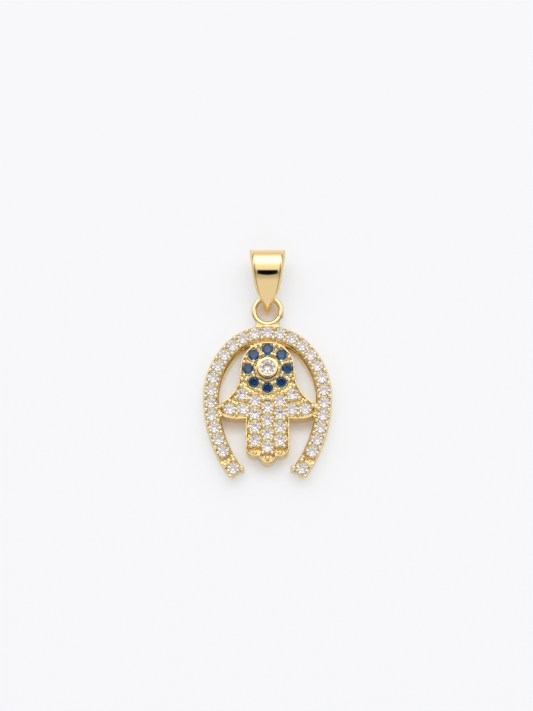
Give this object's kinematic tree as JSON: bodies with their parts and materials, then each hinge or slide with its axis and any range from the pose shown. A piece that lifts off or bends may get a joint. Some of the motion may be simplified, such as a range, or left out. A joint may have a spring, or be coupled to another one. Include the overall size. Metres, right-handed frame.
{
  "type": "hamsa pendant",
  "caption": "Gold-plated hamsa hand inside a horseshoe, set with clear and blue stones, on a ring and a folded bail for a chain.",
  "frame": {"origin": "on the flat back of the casting, under the middle of the eye", "axes": "+Z out of the stones' side, +Y towards the bail, +X to the right as seen from the front"},
  "size_m": [0.014, 0.0253, 0.0033],
  "materials": {
    "gold_casting": "polished yellow gold plate",
    "gold_polished": "mirror-polished yellow gold plate",
    "clear_stone": "clear faceted stone",
    "blue_stone": "deep blue faceted stone"
  },
  "bodies": {
    "root": {"setting": "gold_casting", "bail": "gold_polished", "centre_stone": "clear_stone", "horseshoe_stones": "clear_stone", "blue_stone_1": "blue_stone", "blue_stone_2": "blue_stone", "blue_stone_3": "blue_stone", "blue_stone_4": "blue_stone", "blue_stone_5": "blue_stone", "blue_stone_6": "blue_stone", "blue_stone_7": "blue_stone", "blue_stone_8": "blue_stone", "finger_stone_1": "clear_stone", "finger_stone_2": "clear_stone", "finger_stone_3": "clear_stone", "finger_stone_4": "clear_stone", "finger_stone_5": "clear_stone", "finger_stone_6": "clear_stone", "finger_stone_7": "clear_stone", "finger_stone_8": "clear_stone", "finger_stone_9": "clear_stone", "finger_stone_10": "clear_stone", "finger_stone_11": "clear_stone", "finger_stone_12": "clear_stone", "thumb_stone_1": "clear_stone", "thumb_stone_2": "clear_stone", "thumb_stone_3": "clear_stone", "thumb_stone_4": "clear_stone", "thumb_stone_5": "clear_stone", "thumb_stone_6": "clear_stone"}
  },
  "joints": []
}
